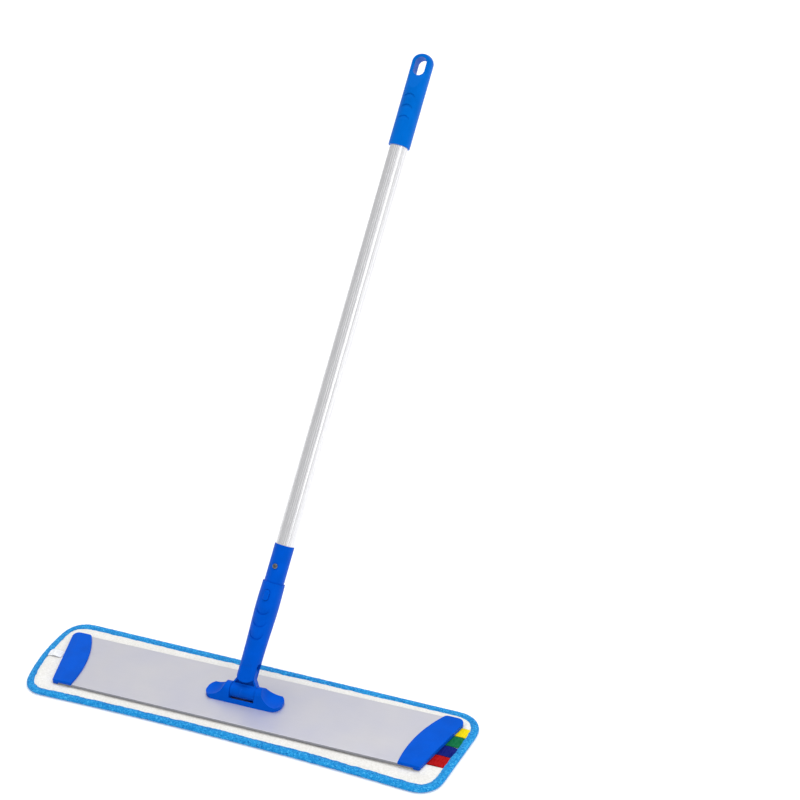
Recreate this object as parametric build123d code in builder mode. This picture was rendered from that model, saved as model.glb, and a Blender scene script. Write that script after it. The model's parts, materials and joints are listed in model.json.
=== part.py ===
from build123d import *
import math
import os

# Flat mop: a textile pad under an aluminium frame, a universal joint and a handle.
# Millimetres. The origin is on the floor under the middle of the swivel. +X runs along the
# head, +Y points away from the user's side and +Z is up. The handle leans back and to +X.

# Pad, in layers from the floor up.
PAD_CORNERS = ((-297, -76), (295, -88), (319, 75), (-310, 86))
# The near edge bows inward and the -X end bows outward, through these places.
PAD_WAIST = (0, -74.5)
PAD_BULGE = (-316.9, 25)
PAD_CORNER_RADIUS = 32
PILE_HEIGHT = 3.2
PILE_ROUNDING = 1.2
PAD_TOP = 5.5
PILE_INSET = 3
BACKING_INSET = 1.8
BINDING_WIDTH = 10.5
BINDING_WALL = 1.6
BINDING_LIP = 1.0
BINDING_BOTTOM = 0
RIBBON_THICKNESS = 0.8
RIBBON_LIFT = 0.05
RIBBON_TUCK = 3.5
RIBBON_CLEARANCE = 0.6
# Low and high edges of each ribbon along the pad's end.
COLOUR_RIBBONS = {"yellow": (26, 43), "green": (4.5, 25), "navy": (-16, 3.5), "red": (-37.5, -17)}
WHITE_RIBBON = (0, 14)
WHITE_RIBBON_LENGTH = 18.5

# Plate: a trapezoid, shorter on the user's side.
PLATE_HALF_WIDTH = 52.5
PLATE_NEAR_HALF = 257
PLATE_FAR_HALF = 286.5
PLATE_TOP = 10.5
WEB_BOTTOM = PLATE_TOP - 2.2
LIP_BOTTOM = PLATE_TOP - 3.8
LIP_WIDTH = 2.1
RIB_BOTTOM = PLATE_TOP - 3.6
RIB_IN, RIB_OUT = 21.6, 23.0
GROOVE_OFFSET = 13
GROOVE_WIDTH = 1.2
GROOVE_DEPTH = 0.4
PLATE_EDGE_ROUNDING = 0.6
END_SLOPE = (PLATE_FAR_HALF - PLATE_NEAR_HALF) / (2 * PLATE_HALF_WIDTH)

# Hook strips, in the channels under the plate.
HOOK_BOTTOM = PAD_TOP + 0.15
HOOK_IN, HOOK_OUT = 23.2, 50.2
HOOK_REACH = 4

# End caps. The outer face runs parallel to the plate's end.
CAP_REACH = 8.3
CAP_TOP = PLATE_TOP + 3
CAP_HALF_WIDTH = 53.4
CAP_ARC_NEAR = 236
CAP_ARC_MIDDLE = (243, 3)
CAP_ARC_FAR = 266.5
CAP_SKIRT = PLATE_TOP - 1.4
CAP_CREASE_RUN = 12
CAP_CREASE_DROP = 0.8
CAP_FAR_CORNER = 8
CAP_INNER_CORNER = 6
CAP_NEAR_CORNER = 3
CAP_EDGE_ROUNDING = 1.3
POCKETS = ((-21.4, -11.4), (-9.8, 9.8), (11.4, 21.4))
POCKET_START, POCKET_WALL = 1.2, 1.6
POCKET_TOP = PLATE_TOP + 1.2

# Screws. The plate's are driven up from below into pilot holes.
PAN_RADIUS = 3.8
PAN_HEIGHT = 1.5
PAN_ROUNDING = 0.9
SHANK_RADIUS = 1.7
PLATE_HOLE_RADIUS = 1.8
CAP_PILOT_RADIUS = 1.75
CAP_SCREW_INSET = 16
CAP_SCREW_TOP = POCKET_TOP + 0.7
RECESS_LENGTH = 3.8
RECESS_WIDTH = 0.9
RECESS_DEPTH = 1.0
BASE_PILOT_DEPTH = 3.6
BASE_SCREW_DEPTH = 3.4

# Swivel base, a saddle on the plate.
BASE_LENGTH = 111
BASE_HALF_WIDTH = 16
BASE_CORNER = 14
AXLE_HEIGHT = PLATE_TOP + 10.8
HOUSING_RADIUS = 10.6
WINDOW_HALF = 18.3
WINDOW_WALL_TOP = 5
WINDOW_INNER_HALF = 11.8
SCOOP_RADIUS = 22
SCOOP_CENTRE_X = 48
SCOOP_FLOOR = 3.4
SCOOP_DISH_AXIS = 48

# Barrel and lug, drawn upright about the axle and leaned back at rest.
LEAN_BACK = 32
TILT_SIDE = 6
BARREL_RADIUS = 10
BARREL_HALF = 18
AXLE_RADIUS = 2.5
AXLE_HALF = 27
AXLE_END_GAP = 0.2
SMALL_CHAMFER = 0.4
RUNNING_GAP = 0.05
PRESS_GAP = 0.01
# Depths for cuts that only have to pass through.
ABOVE_ALL = 30
THROUGH = 20
LUG_HALF_DEPTH = 5.7
LUG_HALF_WIDTH = 12
PIN_RISE = 25
LUG_TOP = PIN_RISE + 8.5
LUG_FOOT = 17.6
LUG_WAIST = 19
LUG_CORNER = 6
LUG_RIM = 2.8
WEB_HALF = 2.2
BOSS_RADIUS = 7.5
PIN_RADIUS = 3

# Handle, measured along its axis from the pivot pin.
FORK_GAP_HALF = 5.9
FORK_HALF_DEPTH = 11.5
FORK_FLAT_TOP = 10
FORK_FACET_TOP = 24
FOOT_DROP = 11.5
FORK_ROOT = 16.5
FORK_ROOT_CORNER = 3
SOCKET_TOP = 126
SOCKET_BORE = 13.75
SOCKET_BORE_START = 88
SOCKET_BELLY, SOCKET_BELLY_AT = 15.85, 88
SOCKET_MOUTH = 15.35
SOCKET_FOOT = 14
SOCKET_CORE = 9
SOCKET_CORE_START = 30
SOCKET_GROOVES = (81.6, 64.4, 47.2)
SOCKET_GROOVE_FLOORS = (14.1, 13.6, 12.8)
SOCKET_GROOVE_RADIUS = 9.5
# A groove's profile, as (distance from its lip, rise from its floor).
GROOVE_RUN = ((0, 0), (1.2, 0), (3, 0.5), (7, 1.3), (14, 2.4))
PIN_BORE_FRONT = 9.5
PIN_FRONT, PIN_NECK = 9.3, 9.7
PIN_HEAD_RADIUS = 4.5
PIN_HEAD_BORE = 4.7
PIN_HEAD_SINK = 0.3
SLEEVE_RADIUS = 13.6
SLEEVE_CORE = 11
SLEEVE_START = 90
SLEEVE_TOP = 178
SLEEVE_SHOULDER = 128
TUBE_RADIUS = 12.5
TUBE_BORE = 11.3
TUBE_START = 130
TUBE_END = 824
FLUTES = 30
FLUTE_RADIUS = 1.0
FLUTE_DEPTH = 0.25
SCREW_AT = 148.5
SCREW_BORE = 1.9
SPOT_FACE = 13.1
SPOT_RADIUS = 4.3
SCREW_HEAD_RADIUS = 3.6
SCREW_HEAD_HEIGHT = 1.7
SCREW_RECESS_DEPTH = 1.2
BUTTON_AT = 108.5
BUTTON_LENGTH = 15
BUTTON_WIDTH = 8
BUTTON_FACE = 17.3
BUTTON_BACK = 8.2
BUTTON_ROUNDING = 1.4
BUTTON_GAP = 0.7
BUTTON_FLANGE = 1.6
BUTTON_FLANGE_LENGTH = 18
BUTTON_FLANGE_WIDTH = 8.9
SPRING_SEAT = 10
SPRING_LENGTH = 17.6
SPRING_PITCH = 3
SPRING_RADIUS = 2.6
SPRING_WIRE = 0.4
GRIP_START = 740
GRIP_RADIUS = 15.1
GRIP_TIP = 872
GRIP_DOME = 859
GRIP_GROOVES = (812, 796.5, 781)
GRIP_GROOVE_DEPTH = 1.1
GRIP_GROOVE_RADIUS = 8.5
HANG_HOLE_AT = 852.5
HANG_HOLE_HEIGHT = 26.5
HANG_HOLE_WIDTH = 16.2
# The grip is flattened about the hang hole.
TIP_FLAT_START = 816
TIP_FLAT_FULL = 843
TIP_HALF_DEPTH = 9


def turned(angle):
    return math.cos(math.radians(angle)), math.sin(math.radians(angle))


# The frame of the barrel, with Z up the lug, and the frame of the handle, with Z up the tube.
LEAN_COS, LEAN_SIN = turned(LEAN_BACK)
TILT_COS, TILT_SIN = turned(TILT_SIDE)
BARREL = Plane(origin=(0, 0, AXLE_HEIGHT), x_dir=(1, 0, 0), z_dir=(0, LEAN_SIN, LEAN_COS))
HANDLE = Plane(
    origin=BARREL.origin + BARREL.z_dir * PIN_RISE,
    x_dir=BARREL.x_dir * TILT_COS - BARREL.z_dir * TILT_SIN,
    z_dir=BARREL.z_dir * TILT_COS + BARREL.x_dir * TILT_SIN,
)
HANDLE_AXIS = Axis(HANDLE.origin, HANDLE.z_dir)


def front_of(frame):
    """The frame's X-Z plane, facing the user."""
    return Plane(origin=frame.origin, x_dir=frame.x_dir, z_dir=-frame.y_dir)


def side_of(frame):
    """The frame's Y-Z plane, facing +X."""
    return Plane(origin=frame.origin, x_dir=frame.y_dir, z_dir=frame.x_dir)


BARREL_FRONT, BARREL_SIDE = front_of(BARREL), side_of(BARREL)
HANDLE_FRONT, HANDLE_SIDE = front_of(HANDLE), side_of(HANDLE)


def save(piece, name):
    piece.label = name
    export_step(piece, "parts/" + name + ".step")


def pad_outline(inset):
    """The pad's outline at the origin's height, drawn in by inset."""
    with BuildSketch() as outline:
        with BuildLine():
            Polyline(*PAD_CORNERS[1:])
            ThreePointArc(PAD_CORNERS[3], PAD_BULGE, PAD_CORNERS[0])
            ThreePointArc(PAD_CORNERS[0], PAD_WAIST, PAD_CORNERS[1])
        make_face()
        fillet(outline.vertices(), PAD_CORNER_RADIUS)
        offset(amount=-inset, mode=Mode.REPLACE)
    return outline.sketch


def make_pad():
    with BuildPart() as pile:
        with BuildSketch():
            add(pad_outline(PILE_INSET))
        extrude(amount=PILE_HEIGHT)
        fillet(pile.edges().group_by(Axis.Z)[0], PILE_ROUNDING)
    save(pile.part, "pad_pile")

    with BuildPart() as backing:
        with BuildSketch(Plane.XY.offset(PILE_HEIGHT)):
            add(pad_outline(BACKING_INSET))
        extrude(amount=PAD_TOP - PILE_HEIGHT)
    save(backing.part, "pad_backing")

    with BuildPart() as binding:
        with BuildSketch(Plane.XY.offset(BINDING_BOTTOM)):
            add(pad_outline(0))
            add(pad_outline(BINDING_WALL), mode=Mode.SUBTRACT)
        extrude(amount=PAD_TOP - BINDING_BOTTOM)
        with BuildSketch(Plane.XY.offset(PAD_TOP)):
            add(pad_outline(0))
            add(pad_outline(BINDING_WIDTH), mode=Mode.SUBTRACT)
        extrude(amount=BINDING_LIP)
    save(binding.part, "pad_binding")


def plate_end(y):
    """Half-length of the plate at a place across it."""
    return PLATE_NEAR_HALF + (y + PLATE_HALF_WIDTH) * END_SLOPE


def pad_end(y):
    """How far out the binding's inner edge is, at a place across the +X end."""
    near, far = PAD_CORNERS[1:3]
    growth = (far[0] - near[0]) / (far[1] - near[1])
    return near[0] + (y - near[1]) * growth - BINDING_WIDTH


def make_ribbon(name, low, high, start, end):
    with BuildPart() as ribbon:
        with BuildSketch(Plane.XY.offset(PAD_TOP + RIBBON_LIFT)):
            with Locations(((start + end) / 2, (low + high) / 2)):
                Rectangle(end - start, high - low)
        extrude(amount=RIBBON_THICKNESS)
    save(ribbon.part, name)


def make_ribbons():
    for colour, (low, high) in COLOUR_RIBBONS.items():
        start = plate_end(high) + CAP_REACH - RIBBON_TUCK
        end = pad_end(low) - RIBBON_CLEARANCE
        make_ribbon("ribbon_" + colour, low, high, start, end)
    low, high = WHITE_RIBBON
    start = PAD_BULGE[0] + BINDING_WIDTH + 3 * RIBBON_CLEARANCE
    make_ribbon("ribbon_white", low, high, start, start + WHITE_RIBBON_LENGTH)


def quadrilateral(*corners):
    with BuildSketch() as shape:
        with BuildLine():
            Polyline(*corners, close=True)
        make_face()
    return shape.sketch


def end_strip(near_y, far_y, start, reach):
    """A strip across the end of the plate, from start to reach beyond the plate's end line."""
    return quadrilateral(
        (plate_end(near_y) + start, near_y),
        (plate_end(near_y) + reach, near_y),
        (plate_end(far_y) + reach, far_y),
        (plate_end(far_y) + start, far_y),
    )


def head_outline(near_y, far_y, reach):
    """A trapezoid across the whole head, as long as the plate plus reach at each end."""
    return quadrilateral(
        (-plate_end(near_y) - reach, near_y),
        (plate_end(near_y) + reach, near_y),
        (plate_end(far_y) + reach, far_y),
        (-plate_end(far_y) - reach, far_y),
    )


CAP_SCREW_X = plate_end(0) - CAP_SCREW_INSET
BASE_SCREWS = ((-37, -7), (-37, 7), (37, -7), (37, 7))


def make_plate():
    web_height = PLATE_TOP - WEB_BOTTOM
    with BuildPart() as plate:
        with BuildSketch(Plane.YZ.offset(-PLATE_FAR_HALF)):
            with Locations((0, PLATE_TOP - web_height / 2)):
                Rectangle(2 * PLATE_HALF_WIDTH, web_height)
            for side in (-1, 1):
                lip_y = side * (PLATE_HALF_WIDTH - LIP_WIDTH / 2)
                with Locations((lip_y, (PLATE_TOP + LIP_BOTTOM) / 2)):
                    Rectangle(LIP_WIDTH, PLATE_TOP - LIP_BOTTOM)
                with Locations((side * (RIB_IN + RIB_OUT) / 2, (PLATE_TOP + RIB_BOTTOM) / 2)):
                    Rectangle(RIB_OUT - RIB_IN, PLATE_TOP - RIB_BOTTOM)
                with Locations((side * GROOVE_OFFSET, WEB_BOTTOM)):
                    Rectangle(GROOVE_WIDTH, 2 * GROOVE_DEPTH, mode=Mode.SUBTRACT)
        extrude(amount=2 * PLATE_FAR_HALF)
        with BuildSketch(Plane.XY.offset(LIP_BOTTOM)):
            add(head_outline(-PLATE_HALF_WIDTH, PLATE_HALF_WIDTH, 0))
        extrude(amount=PLATE_TOP - LIP_BOTTOM, mode=Mode.INTERSECT)
        with BuildSketch(Plane.XY.offset(LIP_BOTTOM)):
            with Locations((-CAP_SCREW_X, 0), (CAP_SCREW_X, 0), *BASE_SCREWS):
                Circle(PLATE_HOLE_RADIUS)
        extrude(amount=PLATE_TOP - LIP_BOTTOM, mode=Mode.SUBTRACT)
        top_edges = plate.edges().filter_by(Axis.X).group_by(Axis.Z)[-1]
        fillet(top_edges, PLATE_EDGE_ROUNDING)
    save(plate.part, "plate")


def make_hook_strips():
    for name, near_y, far_y in (("front", -HOOK_OUT, -HOOK_IN), ("back", HOOK_IN, HOOK_OUT)):
        with BuildPart() as strip:
            with BuildSketch(Plane.XY.offset(HOOK_BOTTOM)):
                add(head_outline(near_y, far_y, HOOK_REACH))
            extrude(amount=WEB_BOTTOM - HOOK_BOTTOM)
        save(strip.part, "hook_strip_" + name)


def make_end_caps():
    near_corner = (plate_end(-CAP_HALF_WIDTH) + CAP_REACH, -CAP_HALF_WIDTH)
    far_corner = (plate_end(CAP_HALF_WIDTH) + CAP_REACH, CAP_HALF_WIDTH)
    run = Vector(far_corner[0] - near_corner[0], far_corner[1] - near_corner[1]).normalized()
    crease_plane = Plane(
        origin=(near_corner[0], near_corner[1], CAP_TOP),
        x_dir=(run.Y, -run.X, 0),
        z_dir=(-run.X, -run.Y, 0),
    )
    with BuildPart() as cap:
        with BuildSketch(Plane.XY.offset(LIP_BOTTOM)) as outline:
            with BuildLine():
                Polyline(
                    (CAP_ARC_NEAR, -CAP_HALF_WIDTH),
                    near_corner,
                    far_corner,
                    (CAP_ARC_FAR, CAP_HALF_WIDTH),
                )
                ThreePointArc(
                    (CAP_ARC_FAR, CAP_HALF_WIDTH), CAP_ARC_MIDDLE, (CAP_ARC_NEAR, -CAP_HALF_WIDTH)
                )
            make_face()
            outer = outline.vertices().sort_by(Axis.X)
            fillet(outer[-1], CAP_FAR_CORNER)
            fillet(outline.vertices().sort_by_distance(near_corner)[0], CAP_NEAR_CORNER)
            arc_end = (CAP_ARC_FAR, CAP_HALF_WIDTH)
            fillet(outline.vertices().sort_by_distance(arc_end)[0], CAP_INNER_CORNER)
        extrude(amount=CAP_TOP - LIP_BOTTOM)
        # The top falls away gently outside a crease that runs parallel to the outer face.
        with BuildSketch(crease_plane):
            with BuildLine():
                Polyline(
                    (-CAP_CREASE_RUN, 0), (4, -CAP_CREASE_DROP * 1.45), (4, 2), (-CAP_CREASE_RUN, 2),
                    close=True,
                )
            make_face()
        extrude(amount=200, both=True, mode=Mode.SUBTRACT)
        top_rim = cap.edges().filter_by(lambda e: e.center().Z > CAP_TOP - 2 * CAP_CREASE_DROP)
        fillet(top_rim, CAP_EDGE_ROUNDING)
        # Room for the plate's end, for the hook strips, and the ribbed pockets underneath.
        with BuildSketch(Plane.XY.offset(LIP_BOTTOM)):
            add(end_strip(-CAP_HALF_WIDTH - 1, CAP_HALF_WIDTH + 1, -60, 0))
        extrude(amount=CAP_SKIRT - LIP_BOTTOM, mode=Mode.SUBTRACT)
        with BuildSketch(Plane.XY.offset(LIP_BOTTOM)):
            add(end_strip(-PLATE_HALF_WIDTH, PLATE_HALF_WIDTH, -60, 0))
        extrude(amount=PLATE_TOP - LIP_BOTTOM, mode=Mode.SUBTRACT)
        with BuildSketch(Plane.XY.offset(LIP_BOTTOM)):
            for near_y, far_y in ((-HOOK_OUT, -HOOK_IN), (HOOK_IN, HOOK_OUT)):
                add(end_strip(near_y, far_y, -1, HOOK_REACH + 0.3))
        extrude(amount=WEB_BOTTOM - LIP_BOTTOM, mode=Mode.SUBTRACT)
        with BuildSketch(Plane.XY.offset(LIP_BOTTOM)):
            for near_y, far_y in POCKETS:
                add(end_strip(near_y, far_y, POCKET_START, CAP_REACH - POCKET_WALL))
        extrude(amount=POCKET_TOP - LIP_BOTTOM, mode=Mode.SUBTRACT)
        with BuildSketch(Plane.XY.offset(LIP_BOTTOM)):
            with Locations((CAP_SCREW_X, 0)):
                Circle(CAP_PILOT_RADIUS)
        extrude(amount=CAP_SCREW_TOP - LIP_BOTTOM, mode=Mode.SUBTRACT)
    save(cap.part, "end_cap_right")
    with BuildPart() as left:
        mirror(cap.part, about=Plane.YZ)
    save(left.part, "end_cap_left")


def make_plate_screws(name, places, shank_top):
    """Pan head screws driven up through the plate, each with a cross recess."""
    head_bottom = WEB_BOTTOM - PAN_HEIGHT
    with BuildPart() as screws:
        with BuildSketch(Plane.XY.offset(head_bottom)):
            with Locations(*places):
                Circle(PAN_RADIUS)
        extrude(amount=PAN_HEIGHT)
        fillet(screws.edges().group_by(Axis.Z)[0], PAN_ROUNDING)
        with BuildSketch(Plane.XY.offset(WEB_BOTTOM)):
            with Locations(*places):
                Circle(SHANK_RADIUS)
        extrude(amount=shank_top - WEB_BOTTOM)
        with BuildSketch(Plane.XY.offset(head_bottom)):
            with Locations(*places):
                Rectangle(RECESS_LENGTH, RECESS_WIDTH)
                Rectangle(RECESS_WIDTH, RECESS_LENGTH)
        extrude(amount=RECESS_DEPTH, mode=Mode.SUBTRACT)
    save(screws.part, name)


def make_swivel_base():
    base = Plane.XY.offset(PLATE_TOP)
    axle_up = AXLE_HEIGHT - PLATE_TOP
    # The straight flanks leave the housing's round top at a tangent.
    reach = math.hypot(BASE_HALF_WIDTH, axle_up)
    tangent = math.acos(HOUSING_RADIUS / reach) - math.atan2(axle_up, BASE_HALF_WIDTH)
    flank_y = HOUSING_RADIUS * math.cos(tangent)
    flank_z = axle_up + HOUSING_RADIUS * math.sin(tangent)
    section = Plane(origin=(-BASE_LENGTH / 2, 0, PLATE_TOP), x_dir=(0, 1, 0), z_dir=(1, 0, 0))
    with BuildPart() as saddle:
        with BuildSketch(section):
            with BuildLine():
                Polyline(
                    (-flank_y, flank_z), (-BASE_HALF_WIDTH, 0), (BASE_HALF_WIDTH, 0), (flank_y, flank_z)
                )
                ThreePointArc(
                    (flank_y, flank_z), (0, axle_up + HOUSING_RADIUS), (-flank_y, flank_z)
                )
            make_face()
        extrude(amount=BASE_LENGTH)
        with BuildSketch(base):
            RectangleRounded(BASE_LENGTH, 2 * BASE_HALF_WIDTH, BASE_CORNER)
        extrude(amount=ABOVE_ALL, mode=Mode.INTERSECT)
        # Each ramp is dished: an arc turned about an axis high above the plate.
        for side in (-1, 1):
            scoop_plane = Plane(origin=(0, 0, PLATE_TOP), x_dir=(side, 0, 0), z_dir=(0, -side, 0))
            low = SCOOP_FLOOR + SCOOP_RADIUS
            with BuildSketch(scoop_plane):
                with BuildLine():
                    Polyline(
                        (SCOOP_CENTRE_X - SCOOP_RADIUS, low),
                        (SCOOP_CENTRE_X - SCOOP_RADIUS, SCOOP_DISH_AXIS - 1),
                        (SCOOP_CENTRE_X + SCOOP_RADIUS, SCOOP_DISH_AXIS - 1),
                        (SCOOP_CENTRE_X + SCOOP_RADIUS, low),
                    )
                    ThreePointArc(
                        (SCOOP_CENTRE_X + SCOOP_RADIUS, low),
                        (SCOOP_CENTRE_X, SCOOP_FLOOR),
                        (SCOOP_CENTRE_X - SCOOP_RADIUS, low),
                    )
                make_face()
            dish_axis = Axis((0, 0, PLATE_TOP + SCOOP_DISH_AXIS), (1, 0, 0))
            revolve(axis=dish_axis, revolution_arc=360, mode=Mode.SUBTRACT)
        # Window for the barrel, open down to the plate, with a low wall along each side.
        with BuildSketch(base):
            Rectangle(2 * WINDOW_HALF, 2 * WINDOW_INNER_HALF)
        extrude(amount=ABOVE_ALL, mode=Mode.SUBTRACT)
        with BuildSketch(base.offset(WINDOW_WALL_TOP)):
            Rectangle(2 * WINDOW_HALF, 3 * BASE_HALF_WIDTH)
        extrude(amount=ABOVE_ALL, mode=Mode.SUBTRACT)
        # Axle bores in both housings, and pilot holes for the screws.
        with BuildSketch(Plane.YZ.offset(-AXLE_HALF)):
            with Locations((0, AXLE_HEIGHT)):
                Circle(AXLE_RADIUS + PRESS_GAP)
        extrude(amount=2 * AXLE_HALF, mode=Mode.SUBTRACT)
        with BuildSketch(base):
            with Locations(*BASE_SCREWS):
                Circle(SHANK_RADIUS)
        extrude(amount=BASE_PILOT_DEPTH, mode=Mode.SUBTRACT)
    save(saddle.part, "swivel_base")


def make_axle():
    with BuildPart() as axle:
        with BuildSketch(Plane.YZ.offset(-AXLE_HALF + AXLE_END_GAP)):
            with Locations((0, AXLE_HEIGHT)):
                Circle(AXLE_RADIUS)
        extrude(amount=2 * (AXLE_HALF - AXLE_END_GAP))
        chamfer(axle.edges(), SMALL_CHAMFER)
    save(axle.part, "swivel_axle")


def make_barrel():
    recess_half = LUG_HALF_WIDTH - LUG_RIM
    recess_top = LUG_TOP - LUG_RIM
    with BuildPart() as barrel:
        with BuildSketch(BARREL_SIDE.offset(-BARREL_HALF)):
            Circle(BARREL_RADIUS)
        extrude(amount=2 * BARREL_HALF)
        chamfer(barrel.edges(), SMALL_CHAMFER)
        # The lug: a trapezoid that flares into the barrel, recessed to a web on both faces.
        with BuildSketch(BARREL_FRONT.offset(-LUG_HALF_DEPTH)) as lug:
            with BuildLine():
                Polyline(
                    (-LUG_FOOT, 5), (LUG_FOOT, 5), (LUG_FOOT, 9.5), (LUG_HALF_WIDTH, LUG_WAIST),
                    (LUG_HALF_WIDTH, LUG_TOP), (-LUG_HALF_WIDTH, LUG_TOP),
                    (-LUG_HALF_WIDTH, LUG_WAIST), (-LUG_FOOT, 9.5),
                    close=True,
                )
            make_face()
            fillet(lug.vertices().group_by(Axis.Y)[-1], LUG_CORNER)
        extrude(amount=2 * LUG_HALF_DEPTH)
        for face in (-1, 1):
            near, far = sorted((face * WEB_HALF, face * (LUG_HALF_DEPTH + 5)))
            with BuildSketch(BARREL_FRONT.offset(near)):
                with BuildLine():
                    Polyline(
                        (-LUG_FOOT + 3, 10.3), (LUG_FOOT - 3, 10.3), (recess_half, LUG_WAIST),
                        (recess_half, recess_top), (-recess_half, recess_top), (-recess_half, LUG_WAIST),
                        close=True,
                    )
                make_face()
                with Locations((0, PIN_RISE)):
                    Circle(BOSS_RADIUS, mode=Mode.SUBTRACT)
            extrude(amount=far - near, mode=Mode.SUBTRACT)
        # The bores for the axle and for the pivot pin.
        with BuildSketch(BARREL_SIDE.offset(-BARREL_HALF)):
            Circle(AXLE_RADIUS + RUNNING_GAP)
        extrude(amount=2 * BARREL_HALF, mode=Mode.SUBTRACT)
        with BuildSketch(BARREL_FRONT.offset(-LUG_HALF_DEPTH)):
            with Locations((0, PIN_RISE)):
                Circle(PIN_RADIUS + RUNNING_GAP)
        extrude(amount=2 * LUG_HALF_DEPTH, mode=Mode.SUBTRACT)
    save(barrel.part, "swivel_barrel")


def groove_cutter(lip, floor, way, radius):
    """A finger scallop, deepest beside its lip. way is 1 if it fades out up the handle, or -1."""
    profile = [(floor + rise, lip + way * run) for run, rise in GROOVE_RUN]
    with BuildPart() as cutter:
        with BuildSketch(HANDLE_FRONT):
            with BuildLine():
                Polyline(*profile, (ABOVE_ALL, profile[-1][1]), (ABOVE_ALL, lip), close=True)
            make_face()
        revolve(axis=HANDLE_AXIS)
        with BuildSketch(HANDLE_FRONT):
            with Locations((0, lip + way * radius)):
                Circle(radius)
        extrude(amount=ABOVE_ALL, mode=Mode.INTERSECT)
    return cutter.part


def oval(plane, at, height, width):
    """A slot that stands up the handle, drawn on the plane given."""
    with BuildSketch(plane) as shape:
        with Locations((0, at)):
            SlotOverall(height, width, rotation=90)
    return shape.sketch


def button_hole():
    return oval(Plane.XY, BUTTON_AT, BUTTON_LENGTH + BUTTON_GAP, BUTTON_WIDTH + BUTTON_GAP)


def make_socket():
    cutters = [
        groove_cutter(lip, floor, 1, SOCKET_GROOVE_RADIUS)
        for lip, floor in zip(SOCKET_GROOVES, SOCKET_GROOVE_FLOORS)
    ]
    with BuildPart() as socket:
        with BuildSketch(HANDLE_FRONT):
            with BuildLine():
                Spline(
                    (SOCKET_FOOT, -FOOT_DROP), (SOCKET_FOOT + 0.1, 30), (14.8, 56),
                    (SOCKET_BELLY, SOCKET_BELLY_AT), (SOCKET_MOUTH, SOCKET_TOP),
                    tangents=((0, 1), (-0.02, 1)),
                )
                Polyline(
                    (SOCKET_MOUTH, SOCKET_TOP), (0, SOCKET_TOP), (0, -FOOT_DROP),
                    (SOCKET_FOOT, -FOOT_DROP),
                )
            make_face()
        revolve(axis=HANDLE_AXIS)
        # A round foot about the pivot pin, and flat cheeks that fade out into the round body.
        with BuildSketch(HANDLE_FRONT.offset(-THROUGH)):
            Ellipse(SOCKET_FOOT, FOOT_DROP)
            with Locations((0, SOCKET_TOP / 2)):
                Rectangle(2 * THROUGH, SOCKET_TOP)
        extrude(amount=2 * THROUGH, mode=Mode.INTERSECT)
        with BuildSketch(HANDLE_SIDE.offset(-THROUGH)):
            with BuildLine():
                Polyline(
                    (-FORK_HALF_DEPTH, -FOOT_DROP - 1), (FORK_HALF_DEPTH, -FOOT_DROP - 1),
                    (FORK_HALF_DEPTH, FORK_FLAT_TOP), (SOCKET_FOOT + 0.5, FORK_FACET_TOP),
                    (THROUGH, FORK_FACET_TOP + 10), (THROUGH, SOCKET_TOP + 1),
                    (-THROUGH, SOCKET_TOP + 1), (-THROUGH, FORK_FACET_TOP + 10),
                    (-SOCKET_FOOT - 0.5, FORK_FACET_TOP), (-FORK_HALF_DEPTH, FORK_FLAT_TOP),
                    close=True,
                )
            make_face()
        extrude(amount=2 * THROUGH, mode=Mode.INTERSECT)
        with BuildSketch(HANDLE_SIDE.offset(-THROUGH)) as slot:
            with Locations((0, FORK_ROOT / 2 - 10)):
                Rectangle(2 * FORK_GAP_HALF, FORK_ROOT + 20)
            fillet(slot.vertices().group_by(Axis.Y)[-1], FORK_ROOT_CORNER)
        extrude(amount=2 * THROUGH, mode=Mode.SUBTRACT)
        # Bore for the sleeve, and a smaller core below it.
        with BuildSketch(HANDLE.offset(SOCKET_BORE_START)):
            Circle(SOCKET_BORE)
        extrude(amount=SOCKET_TOP, mode=Mode.SUBTRACT)
        with BuildSketch(HANDLE.offset(SOCKET_CORE_START)):
            Circle(SOCKET_CORE)
        extrude(amount=SOCKET_BORE_START - SOCKET_CORE_START, mode=Mode.SUBTRACT)
        for cutter in cutters:
            add(cutter, mode=Mode.SUBTRACT)
        with BuildSketch(HANDLE_FRONT):
            add(button_hole())
        extrude(amount=ABOVE_ALL, mode=Mode.SUBTRACT)
        # The pivot pin is blind in the front cheek and headed in the back one.
        with BuildSketch(HANDLE_FRONT.offset(-FORK_HALF_DEPTH - 1)):
            Circle(PIN_RADIUS + PRESS_GAP)
        extrude(amount=FORK_HALF_DEPTH + 1 + PIN_BORE_FRONT, mode=Mode.SUBTRACT)
        with BuildSketch(HANDLE_FRONT.offset(-FORK_HALF_DEPTH - 1)):
            Circle(PIN_HEAD_BORE)
        extrude(amount=FORK_HALF_DEPTH + 1 - PIN_NECK, mode=Mode.SUBTRACT)
    save(socket.part, "socket")


def make_pivot_pin():
    head_face = FORK_HALF_DEPTH - PIN_HEAD_SINK
    with BuildPart() as pin:
        with BuildSketch(HANDLE_FRONT.offset(-PIN_NECK)):
            Circle(PIN_RADIUS)
        extrude(amount=PIN_NECK + PIN_FRONT)
        with BuildSketch(HANDLE_FRONT.offset(-head_face)):
            Circle(PIN_HEAD_RADIUS)
        extrude(amount=head_face - PIN_NECK)
    save(pin.part, "pivot_pin")


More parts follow.
